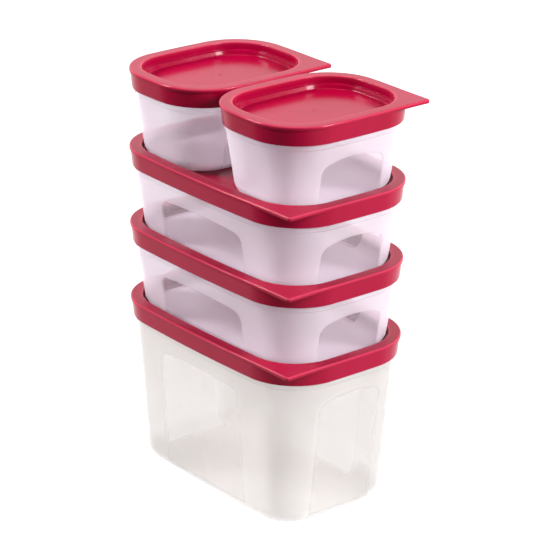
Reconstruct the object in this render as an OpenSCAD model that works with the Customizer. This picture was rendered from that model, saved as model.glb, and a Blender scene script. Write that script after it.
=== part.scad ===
// Stacking set of storage containers with lift-off snap lids: one deep tub at the bottom,
// two shallow tubs above it and two small tubs side by side on top. Every tub has its own lid,
// and the foot of every upper tub stands in the recess of the lid below it.
// All sizes are in millimetres. The origin is at the bottom centre of the stack, +Z is up,
// X runs along the long side and Y along the short side.

/* [Wide footprint] */
// length of the wide lids, over the bowed short sides
lid_l = 240; // [200:1:280]
// width of the wide lids, over the bowed long sides
lid_w = 152; // [125:1:180]
// plan corner radius of the wide lids
lid_r = 50; // [30:1:60]
// how far the long sides bow out at the middle
bow_long = 4.5; // [1:0.5:8]
// how far the short sides bow out at the middle
bow_short = 2; // [0.5:0.5:5]

/* [Small footprint] */
// size of the small lids along X
small_l = 117; // [90:1:119]
// size of the small lids along Y
small_w = 147; // [120:1:160]
// plan corner radius of the small lids
small_r = 46; // [30:1:52]
// how far the sides of the small lids bow out
small_bow = 3.4; // [1:0.2:5]
// centre distance of the two small containers
small_pitch = 120; // [118:1:130]

/* [Heights] */
// closed height of the deep container, foot to lid top
deep_h = 150; // [110:1:200]
// closed height of the shallow and small containers
low_h = 77; // [60:1:100]
// depth of the lid recess, and so how far each foot nests
nest = 10; // [6:0.5:14]

/* [Lid section] */
// height of the lid from skirt edge to rim top
lid_h = 16.6; // [14:0.2:22]
// thickness of the rounded edge plate that carries the pull tab
edge_t = 3.2; // [2:0.2:5]
// how far the edge plate overhangs the skirt
edge_over = 0.9; // [0.4:0.1:2]
// how far the skirt leans in from top to bottom
skirt_draft = 1.4; // [0:0.1:2]
// wall thickness of the skirt at its lower edge
skirt_t = 1.2; // [0.8:0.1:2]
// thickness of the rim plate that lies on the tub
plate_t = 2; // [1.4:0.1:3]
// thickness of the sunk panel
panel_t = 1.7; // [1.2:0.1:3]
// plan width of the flat rim around the recess
rim_w = 10.4; // [8:0.2:14]
// depth of the ledge in the recess wall, measured from the rim top
ledge_z = 6; // [4:0.5:9]
// diameter of the shallow moulding gate dimple in the panel
gate_d = 3; // [1:0.5:6]
// depth of the gate dimple
gate_deep = 0.4; // [0.1:0.1:0.8]

/* [Pull tab] */
// how far the tab tip flares out past the line of the lid sides
tab_out = 0.8; // [0:0.1:4]
// nose radius of the tab tip
tab_nose = 2.6; // [1.8:0.1:5]

/* [Snap lip] */
// how far the lip reaches in from the skirt
lip_reach = 0.9; // [0.5:0.1:1.1]
// height of the lip where it joins the skirt
lip_h = 2.4; // [1.5:0.1:3]
// depth of the lip's upper edge below the rim top
lip_z = 8.1; // [8:0.1:10]

/* [Tub section] */
// wall thickness of the tubs
wall_t = 1.8; // [1.2:0.1:3]
// floor thickness of the tubs
floor_t = 2; // [1.4:0.1:4]
// inset of the tub collar from the lid edge
collar_in = 4.2; // [4:0.1:6]
// visible height of the collar below the skirt
collar_h = 4.2; // [2:0.2:8]
// how far the wall steps in under the collar
step_in = 1.2; // [0.5:0.1:2]
// height of the slope of that step
step_run = 1; // [0.5:0.1:2]
// how far the neck under the lid steps in from the collar
neck_step = 0.5; // [0.2:0.1:1]
// height above the skirt edge where the neck starts
neck_up = 2.6; // [1.6:0.1:4]
// inset of the snap bead from the lid edge
bead_in = 3.5; // [3.3:0.1:3.9]
// depth of the bead's lower edge below the rim top
bead_z = 7.2; // [6.8:0.1:7.4]
// size of the small chamfers of the rim, bead and neck
chamfer = 0.8; // [0.4:0.1:1]

/* [Feet] */
// inset of the foot of the shallow and small tubs from the lid edge
low_in = 11.7; // [11.5:0.1:16]
// radius of the rounded foot of the shallow and small tubs
low_foot_r = 14; // [5:0.5:16]
// inset of the foot of the deep tub from the ends of its lid
deep_in_x = 17.5; // [11.5:0.1:22]
// inset of the foot of the deep tub from the long sides of its lid
deep_in_y = 13.8; // [11.5:0.1:22]
// plan corner radius of the deep tub's foot
deep_foot_corner = 30; // [20:1:40]
// radius of the rounded foot of the deep tub
deep_foot_r = 17; // [5:0.5:24]
// how far the long sides of the deep tub's foot bow out
deep_bow_long = 2.5; // [1:0.5:6]
// how far the short sides of the deep tub's foot bow out
deep_bow_short = 4.5; // [1:0.5:6]

/* [Clear windows] */
// depth of the polished window fields in the tub wall
win_deep = 0.4; // [0.2:0.1:0.6]
// width of the windows in the long faces of the wide tubs
win_long = 105; // [60:1:130]
// width of the windows in the short faces and in the small tubs
win_short = 64; // [40:1:80]
// rise of the arched top of the windows in the long faces
rise_long = 3; // [1:0.5:15]
// rise of the arched top of the windows in the short faces and in the small tubs
rise_short = 6; // [1:0.5:15]
// radius of the upper corners of the windows
win_corner = 9; // [3:0.5:12]
// distance from the skirt edge down to the top of the arch
win_drop = 16.4; // [12:0.2:30]

/* [Hidden] */
tub_colour = [0.88, 0.86, 0.9];
lid_colour = [0.68, 0.12, 0.2];
lip_colour = [0.75, 0.2, 0.28];
z_lower = deep_h - nest;            // foot planes of the stacked tubs
z_upper = z_lower + low_h - nest;
z_small = z_upper + low_h - nest;
skirt_in = edge_over + skirt_draft + skirt_t;    // inside of the skirt at its lower edge
cut_reach = 30;                     // how far a window cutter reaches out from and into the tub

// Each footprint: half length, half width, bow of the X-running sides, bow of the Y-running
// sides, corner radius, segments along the X sides, along the Y sides, and tab corner signs.
wide = [lid_l / 2, lid_w / 2, bow_long, bow_short, lid_r, 6, 4, [1, -1]];
small = [small_l / 2, small_w / 2, small_bow, small_bow, small_r, 4, 4, [1, 1]];
corner_n = 7;
// Footprints of the feet, with the same segments as the lid above them.
function shrunk(f, dx, dy, bx, by, r) = [f[0] - dx, f[1] - dy, bx, by, r, f[5], f[6], f[7]];
wide_foot = shrunk(wide, low_in, low_in, bow_long, bow_short, lid_r - low_in);
small_foot = shrunk(small, low_in, low_in, small_bow, small_bow, small_r - low_in);
deep_foot = shrunk(wide, deep_in_x, deep_in_y, deep_bow_long, deep_bow_short, deep_foot_corner);

// ---- plan outline: four shallow side arcs joined by four tangent corner arcs ----
function arc(c, r, a, b, n) = [for (i = [0 : n - 1]) let (t = a + (b - a) * i / n)
    [c[0] + r * cos(t), c[1] + r * sin(t)]];
function side_rad(h, b) = (h * h + b * b) / (2 * b);
function tangent_centre(c1, a, c2, b) = // point at distance a from c1 and b from c2
    let (d = norm(c2 - c1), t = (a * a - b * b + d * d) / (2 * d), h = sqrt(a * a - t * t),
         u = (c2 - c1) / d)
    c1 + t * u + h * [-u[1], u[0]];
function quarter(f) = // from the middle of the +X side to the middle of the +Y side
    let (rx = side_rad(f[0], f[2]), ry = side_rad(f[1], f[3]),
         ox = [0, f[1] - rx], oy = [f[0] - ry, 0],
         c = tangent_centre(oy, ry - f[4], ox, rx - f[4]),
         ty = atan2(c[1] - oy[1], c[0] - oy[0]), tx = 90 - atan2(c[1] - ox[1], c[0] - ox[0]))
    concat(arc(oy, ry, 0, ty, f[6] / 2), arc(c, f[4], ty, 90 - tx, corner_n),
           arc(ox, rx, 90 - tx, 90, f[5] / 2), [[0, f[1]]]);
function flip(p, sx, sy) = [for (q = p) [q[0] * sx, q[1] * sy]];
function rev(p) = [for (i = [len(p) - 1 : -1 : 0]) p[i]];
function but_last(p) = [for (i = [0 : len(p) - 2]) p[i]];
function join4(q1, q2, q3, q4) = concat(but_last(q1), but_last(rev(q2)), but_last(q3),
                                        but_last(rev(q4)));
function bez(a, b, c, t) = (1 - t) * (1 - t) * a + 2 * t * (1 - t) * b + t * t * c;
// The same quarter with its corner arc drawn out to a pointed pull tab.
function tab_quarter(f) =
    let (q = quarter(f), i0 = f[6] / 2, i1 = i0 + corner_n, a = q[i0], b = q[i1], k = tab_nose,
         na = (a - [f[0] - side_rad(f[1], f[3]), 0]) / side_rad(f[1], f[3]),
         nb = (b - [0, f[1] - side_rad(f[0], f[2])]) / side_rad(f[0], f[2]),
         ta = [-na[1], na[0]], tb = [nb[1], -nb[0]],
         tip = a + ta * cross(b - a, tb) / cross(ta, tb) + [tab_out, tab_out],
         ca = a + ta * norm(tip - a) * 0.6, cb = b + tb * norm(tip - b) * 0.6)
    let (da = (tip - ca) / norm(tip - ca), db = (tip - cb) / norm(tip - cb),
         half = acos(da * db) / 2, mid = (da + db) / norm(da + db),
         ea = tip - da * k / tan(half), eb = tip - db * k / tan(half),
         c = tip - mid * k / sin(half),
         nose = function (t) let (v = (1 - t) * (ea - c) + t * (eb - c)) c + v * k / norm(v))
    concat([for (i = [0 : i0]) q[i]],
           [bez(a, ca, ea, 0.5), ea, nose(0.33), nose(0.67), eb, bez(b, cb, eb, 0.5)],
           [for (i = [i1 : len(q) - 1]) q[i]]);
function outline(f, tab = false) =
    let (q = quarter(f), t = tab_quarter(f), s = f[7],
         at = function (x, y) tab && s == [x, y] ? t : q)
    join4(flip(at(1, 1), 1, 1), flip(at(-1, 1), -1, 1),
          flip(at(-1, -1), -1, -1), flip(at(1, -1), 1, -1));
// Corner vectors that keep every edge parallel when the outline is inset.
function edge_n(a, b) = let (d = b - a) [d[1], -d[0]] / norm(d);
function miters(p) = let (n = len(p)) [for (i = [0 : n - 1])
    let (m = edge_n(p[(i + n - 1) % n], p[i]), k = edge_n(p[i], p[(i + 1) % n]))
    (m + k) / (1 + m * k)];

// ---- solid lofted through rings of [outline: RIM, TAB or FOOT, inset, height] ----
RIM = 0; TAB = 1; FOOT = 2;
module loft(f, rings, foot = wide_foot, loop = false) {
    plans = [outline(f), outline(f, true), outline(foot)];
    corners = [for (p = plans) miters(p)];
    n = len(plans[0]); k = len(rings);
    pts = [for (r = rings) for (i = [0 : n - 1])
        let (q = plans[r[0]][i] - r[1] * corners[r[0]][i]) [q[0], q[1], r[2]]];
    walls = [for (j = [0 : k - (loop ? 1 : 2)]) for (i = [0 : n - 1])
        let (j2 = (j + 1) % k, i2 = (i + 1) % n) [j * n + i, j2 * n + i, j2 * n + i2, j * n + i2]];
    caps = loop ? [] : [[for (i = [0 : n - 1]) i], [for (i = [n - 1 : -1 : 0]) (k - 1) * n + i]];
    polyhedron(points = pts, faces = concat(walls, caps), convexity = 8);
}

// ---- tub: rounded foot, tapered wall, step, collar under the lid, neck and snap bead ----
module tub(f, foot, fr, h) {
    zs = h - lid_h;                       // skirt edge
    it = collar_in + step_in;
    neck = collar_in + neck_step;
    inner = collar_in + wall_t;
    top = h - plate_t;
    step = zs - collar_h;                 // underside of the collar
    loft(f, foot = foot, rings = concat(
        [for (a = [90 : -22.5 : 0]) [FOOT, fr * (1 - cos(a)), fr * (1 - sin(a))]],
        [[RIM, it, step - step_run], [RIM, collar_in, step],
         [RIM, collar_in, zs + neck_up], [RIM, neck, zs + neck_up + chamfer],
         [RIM, neck, h - bead_z - chamfer], [RIM, bead_in, h - bead_z],
         [RIM, bead_in, top - chamfer], [RIM, bead_in + chamfer, top],
         [RIM, inner - chamfer, top], [RIM, inner, top - chamfer],
         [RIM, inner, step + 0.6 * step_run], [RIM, it + wall_t, step - 1.4 * step_run]],
        [for (a = [0 : 28 : 84])
            [FOOT, fr - (fr - wall_t) * cos(a), fr - (fr - floor_t) * sin(a)]],
        [[FOOT, fr + 2, floor_t]]));
}
// One window prism with an arched top and rounded upper corners, reaching out from the -Y side.
module arch(w, rise, z0, z1) {
    r = (w * w / 4 + rise * rise) / (2 * rise);
    k = win_corner;
    zc = z1 - r + sqrt((r - k) * (r - k) - (w / 2 - k) * (w / 2 - k));
    turn = atan2(zc - z1 + r, w / 2 - k);
    right = concat([for (i = [0 : 2]) let (t = turn * i / 3)
                       [w / 2 - k + k * cos(t), zc + k * sin(t)]],
                   [for (i = [0 : 2]) let (t = turn + (90 - turn) * i / 3)
                       [r * cos(t), z1 - r + r * sin(t)]]);
    rotate([90, 0, 0]) linear_extrude(2 * cut_reach)
        polygon(concat([[-w / 2, z0], [w / 2, z0]], right, [[0, z1]], rev(flip(right, -1, 1))));
}
// A tub whose polished windows are cut as a thin layer out of the outside of its wall.
module windowed_tub(f, foot, fr, h, long, short) {
    top = h - lid_h - win_drop;
    it = collar_in + step_in;
    difference() {
        tub(f, foot, fr, h);
        difference() {
            union() {
                if (long > 0) for (s = [0, 180]) rotate(s)
                    translate([0, cut_reach - f[1], 0]) arch(long, rise_long, fr + 0.5, top);
                if (short > 0) for (s = [90, 270]) rotate(s)
                    translate([0, cut_reach - f[0], 0]) arch(short, rise_short, fr + 0.5, top);
            }
            loft(f, foot = foot, rings = [
                [FOOT, win_deep, fr], [RIM, it + win_deep, h - lid_h - collar_h - step_run]]);
        }
    }
}

// ---- lid: skirt, overhanging edge plate with pull tab, flat rim and stepped recess ----
module lid(f) {
    r = rim_w;
    difference() {
        loft(f, [
            [RIM, r + 4.2, -nest - panel_t], [RIM, r + 2.9, -nest - 0.6],
            [RIM, r + 1.5, -ledge_z - 1.6], [RIM, r - 0.2, -ledge_z - 1.2],
            [RIM, r - 1, -plate_t - 0.6], [RIM, r - 1.6, -plate_t],
            [RIM, skirt_in - 0.3, -plate_t], [RIM, skirt_in - 0.9, -plate_t - 0.6],
            [RIM, skirt_in, -lid_h + 0.4], [RIM, skirt_in - 0.4, -lid_h],
            [RIM, edge_over + skirt_draft, -lid_h + 0.1], [RIM, edge_over, -edge_t],
            [TAB, 0.3, -edge_t], [TAB, 0, -edge_t + 0.7],
            [TAB, 0, -1.3], [TAB, 0.4, -0.35], [TAB, 1.3, 0],
            [RIM, r - 1, 0], [RIM, r, -0.4], [RIM, r + 0.5, -1.4],
            [RIM, r + 1.1, -ledge_z], [RIM, r + 2.8, -ledge_z - 0.4],
            [RIM, r + 4.2, -nest + 0.4], [RIM, r + 5, -nest]]);
        translate([0, 0, -nest - gate_deep]) cylinder(d = gate_d, h = 2 * gate_deep, $fn = 24);
    }
}
// Flexing lip moulded inside the skirt: it hooks under the bead of the tub when the lid is shut.
module snap_lip(f) {
    za = -plate_t - 0.6; zb = -lid_h + 0.4;
    skin = function (z) skirt_in - 0.9 + 0.9 * (z - za) / (zb - za);
    tip = skin(-lip_z) + lip_reach;
    loft(f, [[RIM, skin(-lip_z - lip_h), -lip_z - lip_h], [RIM, skin(-lip_z), -lip_z],
             [RIM, tip, -lip_z - 0.5], [RIM, tip, -lip_z - 1.2]], loop = true);
}

module at_wide(z) { translate([0, 0, z]) children(); }
module at_small(side, z) { translate([side * small_pitch / 2, 0, z]) children(); }

module deep_tub() color(tub_colour) at_wide(0)
    windowed_tub(wide, deep_foot, deep_foot_r, deep_h, win_long, win_short);
module deep_lid() color(lid_colour) at_wide(deep_h) lid(wide);
module deep_lid_snap_lip() color(lip_colour) at_wide(deep_h) snap_lip(wide);
module lower_tub() color(tub_colour) at_wide(z_lower)
    windowed_tub(wide, wide_foot, low_foot_r, low_h, win_long, win_short);
module lower_lid() color(lid_colour) at_wide(z_lower + low_h) lid(wide);
module lower_lid_snap_lip() color(lip_colour) at_wide(z_lower + low_h) snap_lip(wide);
module upper_tub() color(tub_colour) at_wide(z_upper)
    windowed_tub(wide, wide_foot, low_foot_r, low_h, win_long, win_short);
module upper_lid() color(lid_colour) at_wide(z_upper + low_h) lid(wide);
module upper_lid_snap_lip() color(lip_colour) at_wide(z_upper + low_h) snap_lip(wide);
module front_tub() color(tub_colour) at_small(1, z_small)
    windowed_tub(small, small_foot, low_foot_r, low_h, 0, win_short);
module front_lid() color(lid_colour) at_small(1, z_small + low_h) lid(small);
module front_lid_snap_lip() color(lip_colour) at_small(1, z_small + low_h) snap_lip(small);
module back_tub() color(tub_colour) at_small(-1, z_small)
    windowed_tub(small, small_foot, low_foot_r, low_h, 0, win_short);
module back_lid() color(lid_colour) at_small(-1, z_small + low_h) lid(small);
module back_lid_snap_lip() color(lip_colour) at_small(-1, z_small + low_h) snap_lip(small);

deep_tub();
deep_lid();
deep_lid_snap_lip();
lower_tub();
lower_lid();
lower_lid_snap_lip();
upper_tub();
upper_lid();
upper_lid_snap_lip();
front_tub();
front_lid();
front_lid_snap_lip();
back_tub();
back_lid();
back_lid_snap_lip();
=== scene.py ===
"""Looks of a stacked set of snap-lid containers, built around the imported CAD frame.

Every tub, lid and snap lip is lofted again through smooth, dense rings from the section of its
CAD node, with the corners rounded. Footprints, places and heights come from the frame. Section
sizes are in millimetres, and everything placed in the scene is in metres.
"""
import math

import bpy
import numpy as np
from mathutils import Matrix, Vector


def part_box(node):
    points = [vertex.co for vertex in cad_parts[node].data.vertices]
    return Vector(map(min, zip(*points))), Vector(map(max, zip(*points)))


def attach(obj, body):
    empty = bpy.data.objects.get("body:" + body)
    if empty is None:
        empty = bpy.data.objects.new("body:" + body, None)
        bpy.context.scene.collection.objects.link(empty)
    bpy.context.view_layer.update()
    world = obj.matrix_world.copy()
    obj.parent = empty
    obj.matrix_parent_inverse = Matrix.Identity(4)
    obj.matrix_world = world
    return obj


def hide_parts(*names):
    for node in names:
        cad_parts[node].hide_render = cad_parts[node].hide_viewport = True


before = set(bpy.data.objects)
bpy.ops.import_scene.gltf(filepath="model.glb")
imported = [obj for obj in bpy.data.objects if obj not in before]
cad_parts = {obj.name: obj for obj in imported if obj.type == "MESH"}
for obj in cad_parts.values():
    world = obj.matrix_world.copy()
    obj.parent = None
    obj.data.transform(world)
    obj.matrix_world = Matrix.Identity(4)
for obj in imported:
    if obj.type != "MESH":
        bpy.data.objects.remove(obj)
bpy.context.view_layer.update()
MM = 0.001

# ---- section sizes shared by all the containers, in millimetres ----
LID_H = 16.6                                       # from the skirt's edge to the rim top
EDGE_T, EDGE_OVER = 3.2, 0.9                       # edge plate: thickness, overhang
SKIRT_T, SKIRT_DRAFT, INNER_DRAFT = 1.2, 1.4, 0.9  # skirt: thickness, lean outside and inside
SKIRT_IN = EDGE_OVER + SKIRT_DRAFT + SKIRT_T       # inset of its inside at the lower edge
PLATE_T, PANEL_T = 2.0, 1.7                        # thickness of the rim plate and the sunk panel
RIM_W, LEDGE_Z, NEST = 10.4, 6.0, 10.0             # width of the rim, depths of ledge and panel
TAB_OUT, TAB_NOSE = 0.8, 2.6                       # pull tab: flare of its tip, nose radius
TAB_PULL = 0.6                                     # where its sweeps' control points lie
LIP_REACH, LIP_H, LIP_Z, LIP_ROOT = 0.9, 2.4, 8.1, 0.1    # snap lip: reach, height, depth, root
WALL_T, FLOOR_T = 1.8, 2.0                         # thickness of a tub's wall and floor
COLLAR_IN, COLLAR_H = 4.2, 4.2                     # collar: inset, height below the skirt
STEP_IN, STEP_RUN = 1.2, 1.0                       # step under the collar: depth, height
NECK_IN, NECK_UP = 4.7, 2.6                        # neck: inset, start above the skirt's edge
BEAD_IN, BEAD_Z = 3.5, 7.2                         # snap bead: inset, depth of its lower edge
CHAMFER = 0.8                                      # height of the slopes of neck and bead
WIN_DEEP, WIN_DROP, WIN_CORNER = 0.4, 16.4, 9.0    # windows: depth, place below the skirt, radius
FOOT_GAP = 0.03                                    # keeps a foot just clear of the lid below
MIDDLE_R = 3.0                                     # innermost ring of a floor, foot or panel
GATE_R = MIDDLE_R / 2                              # radius of the moulding gate mark
# Rings of that mark: share of its radius, and depth below the panel.
GATE_MARK = ((1.1, 0), (1.0, 0.02), (0.85, 0.12), (0.7, 0.15), (0.45, 0.14), (0.3, 0.05), (0.2, 0.03))

# Bows of the X-running and Y-running sides, corner radius, tab corner, and the width and rise
# of the windows on the faces across Y and across X, for the wide and the small footprint.
WIDE = dict(bow_x=4.5, bow_y=2.0, corner=50.0, tab=(1, -1), win_y=(105.0, 3.0), win_x=(64.0, 6.0))
SMALL = dict(bow_x=3.4, bow_y=3.4, corner=46.0, tab=(1, 1), win_y=(0.0, 1.0), win_x=(64.0, 6.0))


def nested_foot(kind, inset=11.7, edge_radius=14.0):
    """The foot of a shallow or small tub, which follows the outline of its lid."""
    return inset, inset, kind["bow_x"], kind["bow_y"], kind["corner"] - inset, edge_radius


# Insets of a foot from the lid edge along X and Y, its bows, plan corner and edge radius.
WIDE_FOOT, SMALL_FOOT = nested_foot(WIDE), nested_foot(SMALL)
DEEP_FOOT = (17.5, 13.8, 2.5, 4.5, 30.0, 17.0)

CONTAINERS = {
    "deep": dict(kind=WIDE, foot=DEEP_FOOT, tint="neutral"),
    "lower": dict(kind=WIDE, foot=WIDE_FOOT, tint="lid_lit"),
    "upper": dict(kind=WIDE, foot=WIDE_FOOT, tint="lid_lit"),
    "front": dict(kind=SMALL, foot=SMALL_FOOT, tint="lid_lit"),
    "back": dict(kind=SMALL, foot=SMALL_FOOT, tint="lid_lit"),
}


# ---- plan outlines ----
SIDE_STEP, CORNER_STEPS = 6.0, 24    # spacing of the grid columns on a side, number in a corner
TAB_SWEEP = 0.36                     # share of the corner's columns that each sweep of the tab takes
# Grid lines about a window edge, in millimetres; the negative side is inside the window.
EDGE_LINES = (-7.0, -5.0, -3.6, -2.6, -1.8, -1.1, -0.6, -0.2, 0.2, 0.6, 1.2)
EDGE_CLEAR = 2.0                     # no plain column stands closer than this to those lines


def unit(v):
    return v / np.linalg.norm(v)


def side_radius(half, bow):
    return (half * half + bow * bow) / (2 * bow)


def tangent_centre(c1, a, c2, b):
    """The point at distance a from c1 and b from c2, on the left of the way from c1 to c2."""
    d = np.linalg.norm(c2 - c1)
    t = (a * a - b * b + d * d) / (2 * d)
    u = (c2 - c1) / d
    return c1 + t * u + math.sqrt(a * a - t * t) * np.array([-u[1], u[0]])


def bezier(a, c, b, t):
    """Points of a quadratic curve and its outward normals, for a curve that runs anticlockwise."""
    t = np.asarray(t)[:, None]
    p = (1 - t) ** 2 * a + 2 * t * (1 - t) * c + t * t * b
    d = 2 * (1 - t) * (c - a) + 2 * t * (b - c)
    d /= np.linalg.norm(d, axis=1)[:, None]
    return p, np.stack([d[:, 1], -d[:, 0]], -1)


class Arcs:
    """An outline of four shallow side arcs and four tangent corner arcs.

    A place on its first quarter is given by the angle of the outline's normal there."""

    def __init__(self, hx, hy, bow_x, bow_y, corner):
        self.rx, self.ry, self.r = side_radius(hx, bow_x), side_radius(hy, bow_y), corner
        self.ox, self.oy = np.array([0, hy - self.rx]), np.array([hx - self.ry, 0])
        self.c = tangent_centre(self.oy, self.ry - corner, self.ox, self.rx - corner)
        self.turn_y = math.atan2(self.c[1] - self.oy[1], self.c[0] - self.oy[0])
        self.turn_x = math.atan2(self.c[1] - self.ox[1], self.c[0] - self.ox[0])
        self.end_y, self.end_x = self.ry * math.sin(self.turn_y), self.rx * math.cos(self.turn_x)

    def at(self, angles):
        n = np.stack([np.cos(angles), np.sin(angles)], -1)
        on_y, on_x = (angles < self.turn_y)[:, None], (angles > self.turn_x)[:, None]
        corner = self.c + self.r * n
        return np.where(on_y, self.oy + self.ry * n, np.where(on_x, self.ox + self.rx * n, corner)), n

    def angle_at_y(self, y):
        return math.asin(y / self.ry if y < self.end_y else (y - self.c[1]) / self.r)

    def angle_at_x(self, x):
        return math.acos(x / self.rx if x < self.end_x else (x - self.c[0]) / self.r)


def window_lines(arcs, kind, lines=EDGE_LINES):
    """Normal angles of the grid columns close to the window edges, on both kinds of side."""
    finders = ((kind["win_x"][0], arcs.angle_at_y), (kind["win_y"][0], arcs.angle_at_x))
    return [[find(width / 2 + e) for e in lines] for width, find in finders if width]


def quarter_columns(rim, kind):
    """Normal angles of all the grid columns of a quarter."""
    plain = [rim.angle_at_y(y) for y in np.linspace(0, rim.end_y, int(rim.end_y / SIDE_STEP) + 2)]
    plain += list(np.linspace(rim.turn_y, rim.turn_x, CORNER_STEPS + 1))
    plain += [rim.angle_at_x(x) for x in np.linspace(0, rim.end_x, int(rim.end_x / SIDE_STEP) + 2)]
    for ends in window_lines(rim, kind, (EDGE_LINES[0] - EDGE_CLEAR, EDGE_LINES[-1] + EDGE_CLEAR)):
        plain = [t for t in plain if not min(ends) < t < max(ends)]
    return np.unique(np.round(sum(window_lines(rim, kind), plain), 9))


class Plan:
    """The outlines of one container about its own middle, all with the same grid columns:
    round for the rim and walls, tabbed for the lid's edge plate, and the foot."""

    def __init__(self, half, kind, foot):
        rim = Arcs(*half, kind["bow_x"], kind["bow_y"], kind["corner"])
        base = Arcs(half[0] - foot[0], half[1] - foot[1], *foot[2:5])
        turns = quarter_columns(rim, kind)
        rim_lines = sorted(sum(window_lines(rim, kind), [0, math.pi / 2]))
        foot_lines = sorted(sum(window_lines(base, kind), [0, math.pi / 2]))
        quarter = rim.at(turns)
        corner = (turns > rim.turn_y) & (turns < rim.turn_x)
        share = (turns[corner] - rim.turn_y) / (rim.turn_x - rim.turn_y)
        ends = rim.at(np.array([rim.turn_y, rim.turn_x]))
        tab = [q.copy() for q in quarter]
        tab[0][corner], tab[1][corner] = self.tab_corner(*ends, share)
        self.round = self.join(quarter, quarter, kind["tab"])
        self.tabbed = self.join(quarter, tab, kind["tab"])
        foot_quarter = base.at(np.interp(turns, rim_lines, foot_lines))
        self.foot = self.join(foot_quarter, foot_quarter, kind["tab"])
        self.n = len(self.round[0])

    @staticmethod
    def tab_corner(ends, normals, share):
        """The corner drawn out to a pointed tab: a sweep, a small nose and a second sweep."""
        (a, b), (na, nb) = ends, normals
        ta, tb = np.array([-na[1], na[0]]), np.array([nb[1], -nb[0]])
        s = np.cross(b - a, tb) / np.cross(ta, tb)
        tip = a + ta * s + TAB_OUT
        ca = a + ta * np.linalg.norm(tip - a) * TAB_PULL
        cb = b + tb * np.linalg.norm(tip - b) * TAB_PULL
        da, db = unit(tip - ca), unit(tip - cb)
        half = math.acos(np.clip(np.dot(da, db), -1, 1)) / 2
        ea, eb = tip - da * TAB_NOSE / math.tan(half), tip - db * TAB_NOSE / math.tan(half)
        centre = tip - unit(da + db) * TAB_NOSE / math.sin(half)
        a1 = math.atan2(*(ea - centre)[::-1])
        a3 = math.atan2(*(eb - centre)[::-1])
        first, last = share < TAB_SWEEP, share > 1 - TAB_SWEEP
        p1, n1 = bezier(a, ca, ea, share[first] / TAB_SWEEP)
        turn = a1 + (a3 - a1) * (share[~first & ~last] - TAB_SWEEP) / (1 - 2 * TAB_SWEEP)
        n2 = np.stack([np.cos(turn), np.sin(turn)], -1)
        p3, n3 = bezier(eb, cb, b, (share[last] - 1 + TAB_SWEEP) / TAB_SWEEP)
        return np.vstack([p1, centre + TAB_NOSE * n2, p3]), np.vstack([n1, n2, n3])

    @staticmethod
    def join(quarter, tab_quarter, tab_at):
        """Mirrors a quarter into the whole outline, with the tab on the corner tab_at."""
        points, normals = [], []
        for sx, sy in ((1, 1), (-1, 1), (-1, -1), (1, -1)):
            cut = tab_quarter if (sx, sy) == tab_at else quarter
            for k, out in ((0, points), (1, normals)):
                q = cut[k] * (sx, sy)
                out.append(q[:-1] if sx * sy > 0 else q[::-1][:-1])
        return np.vstack(points), np.vstack(normals)

    def ring(self, inset, z, tab=0.0):
        """The rim outline moved in by inset, at height z; tab blends to the tabbed outline."""
        (p0, n0), (p1, n1) = self.round, self.tabbed
        flat = (1 - tab) * (p0 - inset * n0) + tab * (p1 - inset * n1)
        return np.column_stack([flat, np.full(self.n, z)])

    def foot_ring(self, inset, z):
        return np.column_stack([self.foot[0] - inset * self.foot[1], np.full(self.n, z)])


def inner_ring(edge, share, radius=MIDDLE_R, drop=0.0):
    """A ring part of the way from the ring edge to a circle about the middle, lowered by drop."""
    flat = edge[:, :2]
    circle = radius * flat / np.linalg.norm(flat, axis=1)[:, None]
    return np.column_stack([(1 - share) * flat + share * circle, edge[:, 2] - drop])


def closing_rings(edge):
    """Rings from the ring edge inwards, which close a floor, foot or panel."""
    return [inner_ring(edge, share) for share in (0.25, 0.5, 0.75, 1.0)]


# ---- sections ----
def fillet(profile, steps=5, guard=0.35, most=0.48):
    """Rounds the corners of a section. Each entry is (inset, height, radius, tab share).

    A rounding takes at most the share most of the flat on either side of it, and a point at the
    distance guard from it keeps the rest of that flat looking flat."""
    out = []
    last = len(profile) - 1
    for i, (x, z, r, tab) in enumerate(profile):
        if r <= 0 or i in (0, last):
            out.append((x, z, tab))
            continue
        b = np.array([x, z])
        a, c = np.array(profile[i - 1][:2]), np.array(profile[i + 1][:2])
        u, v = unit(a - b), unit(c - b)
        half = math.acos(np.clip(np.dot(u, v), -1, 1)) / 2
        before, after = np.linalg.norm(a - b), np.linalg.norm(c - b)
        reach = min(r / math.tan(half), most * before, most * after)
        r = reach * math.tan(half)
        centre = b + unit(u + v) * r / math.sin(half)
        s, e = b + u * reach - centre, b + v * reach - centre
        angle = math.pi - 2 * half
        if before > 2 * reach + 2 * guard:
            out.append((*(b + u * (reach + guard)), tab))
        for k in range(steps + 1):
            t = k / steps
            w = (math.sin((1 - t) * angle) * s + math.sin(t * angle) * e) / math.sin(angle)
            out.append((*(centre + w), tab))
        if after > 2 * reach + 2 * guard:
            out.append((*(b + v * (reach + guard)), tab))
    return out


def subdivide(section, longest):
    """Adds points to a section so that none of its steps is longer than longest."""
    out = [section[0]]
    for a, b in zip(section, section[1:]):
        n = max(1, math.ceil(math.hypot(b[0] - a[0], b[1] - a[1]) / longest))
        out += [tuple(p + (q - p) * k / n for p, q in zip(a, b)) for k in range(1, n + 1)]
    return out


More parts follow.
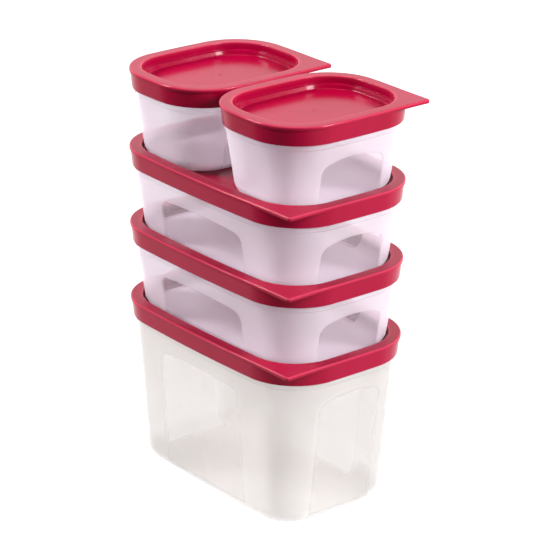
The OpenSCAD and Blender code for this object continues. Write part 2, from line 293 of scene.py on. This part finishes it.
def lid_section(h):
    """Lid section from the edge of the underside, out and up over the skirt, to the panel."""
    r = RIM_W
    return [
        (r + 4.2, h - NEST - PANEL_T, 0, 0), (r + 2.9, h - NEST - 0.6, 1.0, 0),
        (r + 1.5, h - LEDGE_Z - 1.6, 0.5, 0), (r - 0.2, h - LEDGE_Z - 1.2, 0.5, 0),
        (r - 1.0, h - PLATE_T - 0.2, 0.6, 0), (SKIRT_IN - INNER_DRAFT, h - PLATE_T, 0.6, 0),
        (SKIRT_IN, h - LID_H, 0.3, 0), (EDGE_OVER + SKIRT_DRAFT, h - LID_H, 0.5, 0),
        (EDGE_OVER, h - EDGE_T, 0.25, 0), (0.0, h - EDGE_T, 0.7, 1),
        (0.0, h, 1.4, 1), (r - 4.0, h, 0, 0), (r, h, 1.1, 0),
        (r + 1.1, h - LEDGE_Z, 0.4, 0), (r + 2.8, h - LEDGE_Z - 0.4, 0.45, 0),
        (r + 4.3, h - NEST, 1.2, 0), (r + 7.5, h - NEST, 0, 0),
    ]


def rim_section(h):
    """Tub section from the step under the collar, up and over the rim, to the step inside.

    Its first and last points lie on the walls below, and only steer the rounding of the step."""
    edge, step_in, inner = h - LID_H, COLLAR_IN + STEP_IN, COLLAR_IN + WALL_T
    step = edge - COLLAR_H
    lean, run = 6.0, 50.0
    return [
        (step_in + lean, step - run, 0, 0), (step_in, step - STEP_RUN, 0.5, 0),
        (COLLAR_IN, step, 0.6, 0), (COLLAR_IN, edge + NECK_UP, 0.3, 0),
        (NECK_IN, edge + NECK_UP + CHAMFER, 0.3, 0), (NECK_IN, h - BEAD_Z - CHAMFER, 0.3, 0),
        (BEAD_IN, h - BEAD_Z, 0.4, 0), (BEAD_IN, h - PLATE_T, 0.8, 0),
        (inner, h - PLATE_T, 0.8, 0), (inner, step + 0.6 * STEP_RUN, 0.6, 0),
        (step_in + WALL_T, step - 1.4 * STEP_RUN, 0.6, 0),
        (step_in + WALL_T + lean, step - run, 0, 0),
    ]


# ---- meshes ----
def loft(name, rings, start=None, end=None, loop=False, marks=None, centre=(0, 0)):
    """A mesh through rings of points. start and end are the middles of its two closed ends."""
    n, k = len(rings[0]), len(rings)
    points = np.vstack(rings)
    i = np.arange(n)
    faces = []
    for j in range(k if loop else k - 1):
        lo, hi = j * n, (j + 1) % k * n
        faces += list(zip(lo + i, lo + (i + 1) % n, hi + (i + 1) % n, hi + i))
    if start is not None:
        points = np.vstack([points, start, end])
        a, b, top = k * n, k * n + 1, (k - 1) * n
        faces += [(a, (j + 1) % n, j) for j in range(n)]
        faces += [(b, top + j, top + (j + 1) % n) for j in range(n)]
    points = (points + (*centre, 0)) * MM
    mesh = bpy.data.meshes.new(name)
    mesh.from_pydata(points.tolist(), [], [tuple(int(v) for v in f) for f in faces])
    mesh.polygons.foreach_set("use_smooth", [True] * len(mesh.polygons))
    for key, values in (marks or {}).items():
        full = np.zeros(len(points), np.float32)
        full[:len(values)] = values
        mesh.attributes.new(key, "FLOAT", "POINT").data.foreach_set("value", full)
    mesh.validate()
    obj = bpy.data.objects.new(name, mesh)
    bpy.context.scene.collection.objects.link(obj)
    return obj


WIN_FIELD = 4.0                      # reach of the stored distance from a window's edge
ROW_STEP, LID_STEP = 7.0, 4.0        # longest step between the rings of a wall and of a lid
BAND_LOW, BAND_HIGH = 9.0, 3.0       # how far below and above the crowns the rings are arched
FADE_HIGH = 2.0                      # how far above the crowns they start to level out
LEVEL_FROM, LEVEL_TO = 1.5, 14.0     # how far past a window's side they level out
FOOT_TURNS = np.radians(np.linspace(90, 6, 10))    # angles of the rings up the foot's curve
SINK_FROM, SINK_TO = -0.5, 0.3       # where the step of a window's edge starts and ends
SINK_RUNOUT = 4.0                    # a window's step fades out this far down the foot's curve
FLOOR_CLEAR = 0.5                    # the clear field starts this far above the floor


def smoothstep(x, lo, hi):
    t = np.clip((x - lo) / (hi - lo), 0, 1)
    return t * t * (3 - 2 * t)


def face_windows(points, normals, kind):
    """For each point: its place along its own face, and the width and rise of the window there."""
    on_y_face = np.abs(normals[:, 1]) > np.abs(normals[:, 0])
    along = np.abs(np.where(on_y_face, points[:, 0], points[:, 1]))
    width, rise = [np.where(on_y_face, y, x) for y, x in zip(kind["win_y"], kind["win_x"])]
    return along, width, rise


def arch_radius(width, rise):
    return (width * width / 4 + rise * rise) / (2 * rise)


def depth_in_window(points, normals, kind, crown):
    """How far each point is inside a window; negative outside."""
    along, width, rise = face_windows(points, normals, kind)
    z, r, k = points[:, 2], arch_radius(width, rise), WIN_CORNER
    low = crown - r
    zc = low + np.sqrt(np.maximum((r - k) ** 2 - (width / 2 - k) ** 2, 0))
    in_corner = np.arctan2(z - low, along) < np.arctan2(zc - low, width / 2 - k)
    corner = k - np.hypot(along - width / 2 + k, z - zc)
    top = r - np.hypot(along, z - low)
    depth = np.where(z < zc, width / 2 - along, np.where(in_corner, corner, top))
    return np.where(width > 0, np.clip(depth, -WIN_FIELD, WIN_FIELD), -WIN_FIELD)


def wall_rows(low, high, plan, kind, crown):
    """Rings up a straight tub wall; those by the window crowns follow the arches."""
    along, width, rise = face_windows(high, plan.round[1], kind)
    r = arch_radius(width, rise)
    drop = (r - np.sqrt(np.maximum(r * r - np.minimum(along, width / 2) ** 2, 0))) * (width > 0)
    drop *= 1 - smoothstep(along, width / 2 + LEVEL_FROM, width / 2 + LEVEL_TO)
    z0, z1 = low[0, 2], high[0, 2]
    heights = [z for z in np.linspace(z0, z1, int((z1 - z0) / ROW_STEP) + 2)[1:-1]
               if not crown - BAND_LOW < z < crown + BAND_HIGH]
    rows = []
    for z in sorted(heights + [crown + e for e in EDGE_LINES]):
        fade_in = np.clip((z - z0) / (crown - BAND_LOW - z0), 0, 1)
        fade_out = np.clip((z1 - z) / (z1 - crown - FADE_HIGH), 0, 1)
        t = ((z - drop * fade_in * fade_out - z0) / (z1 - z0))[:, None]
        rows.append(low + t * (high - low))
    return rows


def make_tub(name, plan, kind, foot_r, base, h, centre):
    """A tub with marks for its windows, its floor and the thick bead about its mouth."""
    crown = h - LID_H - WIN_DROP
    over_rim = [plan.ring(*p) for p in fillet(rim_section(h), steps=6)[1:-1]]
    outside = [plan.foot_ring(foot_r * (1 - math.cos(t)),
                              foot_r - (foot_r - FOOT_GAP) * math.sin(t)) for t in FOOT_TURNS]
    inside = [plan.foot_ring(foot_r - (foot_r - WALL_T) * math.cos(t),
                             foot_r - (foot_r - FLOOR_T) * math.sin(t)) for t in FOOT_TURNS]
    outer = outside + wall_rows(outside[-1], over_rim[0], plan, kind, crown)
    inner = inside + wall_rows(inside[-1], over_rim[-1], plan, kind, crown)
    rings = outer + over_rim + inner[::-1]
    points, normals = np.vstack(rings), np.tile(plan.round[1], (len(rings), 1))
    field = depth_in_window(points, normals, kind, crown)
    field = np.where(points[:, 2] > FLOOR_T + FLOOR_CLEAR, field, -WIN_FIELD)
    is_outer = np.repeat([1] * len(outer) + [0] * (len(rings) - len(outer)), plan.n)
    sink = smoothstep(field, SINK_FROM, SINK_TO) * is_outer
    sink *= smoothstep(points[:, 2], foot_r - SINK_RUNOUT, foot_r)
    points[:, :2] -= (WIN_DEEP * sink)[:, None] * normals
    under, floor = closing_rings(rings[0])[::-1], closing_rings(rings[-1])
    rings = under + list(points.reshape(len(rings), plan.n, 3)) + floor
    heights = np.append(np.vstack(rings)[:, 2], [FOOT_GAP, FLOOR_T])
    blank = np.full(len(under) * plan.n, -WIN_FIELD)
    neck = h - LID_H + NECK_UP
    marks = {
        "window": np.concatenate([blank, field, blank, [-WIN_FIELD, -WIN_FIELD]]),
        "floor": 1 - smoothstep(heights, FLOOR_T, foot_r),
        "mouth": smoothstep(heights, neck, neck + CHAMFER),
    }
    rings = [r + (0, 0, base) for r in rings]
    return loft(name, rings, start=(0, 0, base + FOOT_GAP), end=(0, 0, base + FLOOR_T),
                centre=centre, marks=marks)


def make_lid(name, plan, top, centre):
    """A lid from the underside of its panel, round the skirt and over the rim, to the gate mark."""
    section = subdivide(fillet(lid_section(top)), LID_STEP)
    rings = [plan.ring(*p) for p in section]
    under, panel = closing_rings(rings[0])[::-1], closing_rings(rings[-1])
    gate = [inner_ring(rings[-1], 1.0, GATE_R * share, depth) for share, depth in GATE_MARK]
    # Share of the painted highlight at each point of the section.
    highlight_mask = [painted_edge_highlight(p, top) for p in section]
    marks = np.repeat([0] * len(under) + highlight_mask + [0] * len(panel + gate), plan.n)
    low, high = (0, 0, section[0][1]), (0, 0, section[-1][1] - GATE_MARK[-1][1])
    return loft(name, under + rings + panel + gate, start=low, end=high, centre=centre,
                marks={"edge": marks})


# Edges that get a painted highlight: their colour is lifted to a light pink that stands in for the
# bright lines of light along them.
HIGHLIT_EDGES = ((0.3, 0.5), (RIM_W - 0.2, 0.2))    # inset and depth of the plate's and the rim's edge
HIGHLIGHT_REACH = 1.3                                 # how far from them the painted highlight fades out


def painted_edge_highlight(point, top):
    """Share of the painted highlight: from 1 on the outer edge of the plate and the rim's inner edge
    to 0 beside them.
    """
    x, z, _ = point
    near = min(math.hypot(x - inset, top - z - depth) for inset, depth in HIGHLIT_EDGES)
    return max(0.0, 1 - near / HIGHLIGHT_REACH)


def make_lip(name, plan, top, centre):
    """The snap lip: a hook with a sloping underside, rooted in the inside of the skirt."""
    def skirt(depth):
        return SKIRT_IN - INNER_DRAFT * (LID_H - depth) / (LID_H - PLATE_T)

    tip = skirt(LIP_Z) + LIP_REACH
    section = [(skirt(LIP_Z + LIP_H) - LIP_ROOT, -LIP_H), (skirt(LIP_Z) - LIP_ROOT, 0),
               (tip - 0.25, -0.42), (tip, -0.7), (tip, -1.0), (tip - 0.2, -1.35)]
    rings = [plan.ring(x, top - LIP_Z + z) for x, z in section]
    return loft(name, rings, loop=True, centre=centre)


# ---- materials ----
class Nodes:
    """A small helper that adds nodes to a material and links them."""

    def __init__(self, name):
        self.material = bpy.data.materials.new(name)
        self.material.use_nodes = True
        self.tree = self.material.node_tree
        self.tree.nodes.clear()
        self.output = self.add("ShaderNodeOutputMaterial")
        self.place = self.add("ShaderNodeTexCoord").outputs["Object"]

    def add(self, kind, inputs=None, **settings):
        node = self.tree.nodes.new(kind)
        for key, value in settings.items():
            setattr(node, key, value)
        for key, value in (inputs or {}).items():
            if isinstance(value, bpy.types.NodeSocket):
                self.tree.links.new(value, node.inputs[key])
            else:
                node.inputs[key].default_value = value
        return node

    def noise(self, scale, detail=2.0, roughness=0.5):
        return self.add("ShaderNodeTexNoise", {"Vector": self.place, "Scale": scale,
                        "Detail": detail, "Roughness": roughness}).outputs["Fac"]

    def patches(self, scale):
        """Slow soft patches from 0 to 1."""
        return self.span(self.noise(scale, 3), 0.35, 0.65, 0, 1)

    def span(self, value, lo, hi, out_lo, out_hi):
        return self.add("ShaderNodeMapRange", {"Value": value, "From Min": lo, "From Max": hi,
                        "To Min": out_lo, "To Max": out_hi}).outputs["Result"]

    def math(self, how, a, b):
        return self.add("ShaderNodeMath", {0: a, 1: b}, operation=how).outputs[0]

    def mix_colour(self, factor, a, b):
        """Mixes two colours, whose sockets are numbers 6 and 7, into output number 2."""
        node = self.add("ShaderNodeMix", {"Factor": factor}, data_type="RGBA")
        for slot, value in ((6, a), (7, b)):
            if isinstance(value, bpy.types.NodeSocket):
                self.tree.links.new(value, node.inputs[slot])
            else:
                node.inputs[slot].default_value = (*value, 1)
        return node.outputs[2]

    def blend(self, factor, a, b):
        """Mixes two numbers, whose sockets are numbers 2 and 3."""
        node = self.add("ShaderNodeMix", {0: factor, 2: a, 3: b}, data_type="FLOAT")
        return node.outputs[0]

    def bump(self, height, distance, strength=1.0, normal=None):
        inputs = {"Height": height, "Distance": distance, "Strength": strength}
        if normal is not None:
            inputs["Normal"] = normal
        return self.add("ShaderNodeBump", inputs).outputs["Normal"]

    def attribute(self, name):
        return self.add("ShaderNodeAttribute", attribute_name=name).outputs["Fac"]

    def finish(self, shader):
        self.tree.links.new(shader, self.output.inputs["Surface"])
        return self.material


# Lids: the colours that flow into each other, the colour and the share of the highlight painted
# along the edges, roughness, how much smoother those edges are, and specular level.
CRIMSON = dict(deep=(0.225, 0.0003, 0.018), bright=(0.250, 0.0006, 0.024), highlight_colour=(0.72, 0.10, 0.16),
               highlight_share=0.35, satin=(0.16, 0.20), edge_gloss=0.06, specular=0.11)
# Tubs: the two colours of the cloudy wall, the darker colour painted on the thick bead as shade,
# how much of the light the frosted and the clear wall stop, the tint of what passes, and half the
# width of the soft border of the windows in millimetres.
# The tubs that stand on red lids: their plastic is tinted lilac as painted red light thrown up from
# the lids below.
LID_LIT_FROST = dict(tint=(0.942, 0.900, 0.945), shade=(0.917, 0.868, 0.922), bead_shade=(0.52, 0.46, 0.54),
             frost_cover=0.55, clear_cover=0.18, through=(0.99, 0.98, 1.0), border=0.35)
# The deep tub: a greyer, darker copy of the same plastic, as painted shade, that also passes less
# light.
NEUTRAL = dict(tint=(0.84, 0.83, 0.82), shade=(0.81, 0.80, 0.79), bead_shade=(0.47, 0.46, 0.45),
               frost_cover=0.42, clear_cover=0.27, through=(0.915, 0.91, 0.905), border=1.6)
FROST_ROUGH, CLEAR_ROUGH, TUB_SPECULAR = (0.42, 0.54), 0.12, 0.4
DENSE_COVER = 0.8                    # cover of the floor and the bead
WALL_SHARE, DENSE_SHARE = 0.7, 0.3   # share of the stopped light that is scattered through


def crimson(name, deep, bright, highlight_colour, highlight_share, satin, edge_gloss, specular):
    """Satin moulded plastic: slow colour flow, a fine spark-eroded grain, and smoother edges with a
    painted highlight.
    """
    n = Nodes(name)
    # Painted highlight: along the edges the colour is mixed towards a lighter, pinker one, and the
    # roughness is lowered.
    highlight_mask = n.attribute("edge")
    base = n.mix_colour(n.patches(18), deep, bright)
    base = n.mix_colour(n.math("MULTIPLY", highlight_mask, highlight_share), base, highlight_colour)
    rough = n.span(n.noise(120), 0.3, 0.7, *satin)
    rough = n.math("SUBTRACT", rough, n.math("MULTIPLY", highlight_mask, edge_gloss))
    waves = n.bump(n.noise(45, 1), 0.0004, 0.08)
    grain = n.bump(n.noise(2600), 0.00004, 0.12, waves)
    shader = n.add("ShaderNodeBsdfPrincipled", {"Base Color": base, "Roughness": rough,
                   "Specular IOR Level": specular, "Normal": grain})
    return n.finish(shader.outputs[0])


def frosted(name, tint, shade, bead_shade, frost_cover, clear_cover, through, border):
    """Frosted translucent plastic, nearly clear in the window fields, denser in the floor, and
    denser in the thick bead about the mouth, which is painted darker as shade."""
    n = Nodes(name)
    window = n.span(n.attribute("window"), -border, border, 0, 1)
    mouth = n.attribute("mouth")
    dense = n.math("MAXIMUM", n.attribute("floor"), mouth)
    # Painted shade: the bead about the mouth is mixed towards a darker colour.
    base = n.mix_colour(mouth, n.mix_colour(n.patches(22), shade, tint), bead_shade)
    frost_rough = n.span(n.noise(900, 3), 0.3, 0.7, *FROST_ROUGH)
    rough = n.blend(window, frost_rough, CLEAR_ROUGH)
    frost = n.math("MULTIPLY", n.math("SUBTRACT", 1.0, window), n.noise(3200))
    waves = n.bump(n.noise(30, 1), 0.0005, 0.2)
    grain = n.bump(frost, 0.00005, 0.5, waves)
    body = n.add("ShaderNodeBsdfPrincipled", {"Base Color": base, "Roughness": rough,
                 "Specular IOR Level": TUB_SPECULAR, "Normal": grain})
    glow = n.add("ShaderNodeBsdfTranslucent", {"Color": base, "Normal": grain})
    share = n.blend(dense, WALL_SHARE, DENSE_SHARE)
    wall = n.add("ShaderNodeMixShader", {0: share, 1: body.outputs[0], 2: glow.outputs[0]})
    hole = n.add("ShaderNodeBsdfTransparent", {"Color": (*through, 1)})
    cover = n.blend(window, n.blend(dense, frost_cover, DENSE_COVER), clear_cover)
    shader = n.add("ShaderNodeMixShader", {0: cover, 1: hole.outputs[0], 2: wall.outputs[0]})
    return n.finish(shader.outputs[0])


def make_materials():
    return {
        "lid": crimson("crimson_satin", **CRIMSON),
        "lid_lit": frosted("frosted_lilac", **LID_LIT_FROST),
        "neutral": frosted("frosted_neutral", **NEUTRAL),
    }


# ---- the containers ----
def build_container(name, spec, materials):
    """The tub, lid and snap lip of one container, each in the place of its CAD node."""
    kind, foot = spec["kind"], spec["foot"]
    tub, lid, lip = f"{name}_tub", f"{name}_lid", f"{name}_lid_snap_lip"
    (tub_lo, tub_hi), (lid_lo, lid_hi) = [[np.array(c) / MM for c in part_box(k)] for k in (tub, lid)]
    centre = (tub_lo[:2] + tub_hi[:2]) / 2
    half = np.minimum(lid_hi[:2] - centre, centre - lid_lo[:2])    # the sides away from the tab
    base, top = tub_lo[2], lid_hi[2]
    plan = Plan(half, kind, foot)
    pieces = (
        (make_tub(f"{tub}_moulding", plan, kind, foot[-1], base, top - base, centre),
         tub, tub, materials[spec["tint"]], "frosted_tub"),
        (make_lid(f"{lid}_moulding", plan, top, centre), lid, lid, materials["lid"], "crimson_lid"),
        (make_lip(f"{lip}_moulding", plan, top, centre), lid, lip, materials["lid"], "crimson_lip"),
    )
    for piece, body, node, material, slot in pieces:
        piece.data.materials.append(material)
        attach(piece, body)
        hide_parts(node)


# ---- studio ----
VIEW_AZ, VIEW_EL, VIEW_ROLL = 50.435, 21.663, 0.739     # degrees
VIEW_DISTANCE = 2.150                                   # metres
LENS, SENSOR = 166.4, 36                                # millimetres
AIM_RIGHT, AIM_UP, AIM_HEIGHT = 0.0133, -0.0056, 0.184  # the aim point, in metres
FAR_CLIP = 50                                           # metres
# Softboxes: azimuth and elevation in degrees, side in metres and power in watts.
SOFTBOXES = {"right": (114, 32, 0.6, 62), "left": (-42, 38, 0.6, 54), "top": (230, 72, 0.8, 8)}
LIGHT_DISTANCE, LIGHT_AIM = 1.8, (0, 0, 0.17)           # metres
TABLE_HALF, TABLE_TONE, TABLE_ROUGH = 8.0, (0.09, 0.11), 0.8    # half its side in metres, greys
TABLE_AZ = 15                                           # degrees, the side on which it is dimmer
TABLE_FADE, TABLE_GLOW = (0.23, 0.45), (1.15, 0.05)     # metres towards that side, brightness
BACKDROP, ROOM, CEILING = 1.65, 0.08, 0.25              # brightness of the surroundings
BACKDROP_EDGE, CEILING_EDGE = (-0.6, 0.2), (0.45, 0.9)  # where they fade, as cosines


def direction(az, el=0.0):
    az, el = math.radians(az), math.radians(el)
    return np.array([math.sin(az) * math.cos(el), -math.cos(az) * math.cos(el), math.sin(el)])


def look(obj, place, target, roll=0.0):
    """Puts obj at place, looking at target along its own -Z."""
    turn = (Vector(target) - Vector(place)).to_track_quat("-Z", "Y").to_matrix()
    turn = turn @ Matrix.Rotation(math.radians(roll), 3, "Z")
    obj.matrix_world = Matrix.Translation(Vector(place)) @ turn.to_4x4()


def make_camera():
    data = bpy.data.cameras.new("camera")
    data.lens, data.sensor_width = LENS, SENSOR
    data.clip_end = FAR_CLIP
    camera = bpy.data.objects.new("camera", data)
    bpy.context.scene.collection.objects.link(camera)
    back = direction(VIEW_AZ, VIEW_EL)
    right = direction(VIEW_AZ + 90)
    aim = np.array([0, 0, AIM_HEIGHT]) + AIM_RIGHT * right + AIM_UP * np.cross(back, right)
    look(camera, aim + VIEW_DISTANCE * back, aim, VIEW_ROLL)
    bpy.context.scene.camera = camera


def softbox(name, az, el, side, power):
    data = bpy.data.lights.new(name, "AREA")
    data.shape, data.size = "SQUARE", side
    data.energy = power
    light = bpy.data.objects.new(name, data)
    bpy.context.scene.collection.objects.link(light)
    look(light, np.array(LIGHT_AIM) + LIGHT_DISTANCE * direction(az, el), LIGHT_AIM)


def make_floor():
    """A lit white table whose end at one side, out of the picture, is dimmer."""
    mesh = bpy.data.meshes.new("floor")
    corners = [(x * TABLE_HALF, y * TABLE_HALF, 0) for x, y in ((-1, -1), (1, -1), (1, 1), (-1, 1))]
    mesh.from_pydata(corners, [], [(0, 1, 2, 3)])
    floor = bpy.data.objects.new("floor", mesh)
    bpy.context.scene.collection.objects.link(floor)
    n = Nodes("lit_white_table")
    tone = n.mix_colour(n.noise(3), *[(grey, grey, grey) for grey in TABLE_TONE])
    near = n.add("ShaderNodeVectorMath", {0: n.place, 1: direction(TABLE_AZ)}, operation="DOT_PRODUCT")
    glow = n.span(near.outputs["Value"], *TABLE_FADE, *TABLE_GLOW)
    shader = n.add("ShaderNodeBsdfPrincipled", {"Base Color": tone, "Roughness": TABLE_ROUGH,
                   "Emission Color": (1, 1, 1, 1), "Emission Strength": glow})
    mesh.materials.append(n.finish(shader.outputs[0]))


def make_world():
    """A dim room with a bright backdrop on the far side, which shows as gloss on the lids."""
    world = bpy.data.worlds.new("studio")
    bpy.context.scene.world = world
    world.use_nodes = True
    tree = world.node_tree
    tree.nodes.clear()
    place = tree.nodes.new("ShaderNodeTexCoord").outputs["Generated"]
    shade = tree.nodes.new("ShaderNodeBackground")
    out = tree.nodes.new("ShaderNodeOutputWorld")

    def along(axis, lo, hi, at_lo, at_hi):
        """A ramp over the cosine of the angle to axis."""
        dot = tree.nodes.new("ShaderNodeVectorMath")
        dot.operation = "DOT_PRODUCT"
        tree.links.new(place, dot.inputs[0])
        dot.inputs[1].default_value = axis
        ramp = tree.nodes.new("ShaderNodeMapRange")
        tree.links.new(dot.outputs["Value"], ramp.inputs["Value"])
        for key, value in zip(("From Min", "From Max", "To Min", "To Max"), (lo, hi, at_lo, at_hi)):
            ramp.inputs[key].default_value = value
        return ramp.outputs["Result"]

    far = along(direction(VIEW_AZ), *BACKDROP_EDGE, BACKDROP, ROOM)
    high = along((0, 0, 1), *CEILING_EDGE, 0, 1)
    mix = tree.nodes.new("ShaderNodeMix")
    tree.links.new(high, mix.inputs[0])
    tree.links.new(far, mix.inputs[2])
    mix.inputs[3].default_value = CEILING
    tree.links.new(mix.outputs[0], shade.inputs["Strength"])
    tree.links.new(shade.outputs[0], out.inputs[0])


def make_studio():
    make_camera()
    make_floor()
    make_world()
    for name, (az, el, side, power) in SOFTBOXES.items():
        softbox(name, az, el, side, power)
    scene = bpy.context.scene
    scene.view_settings.view_transform = "Standard"
    scene.cycles.transparent_max_bounces = 32    # enough for all the clear walls in line
    scene.cycles.diffuse_bounces = 8             # lets light spread inside the frosted tubs


make_studio()
MATERIALS = make_materials()
for container, details in CONTAINERS.items():
    build_container(container, details, MATERIALS)
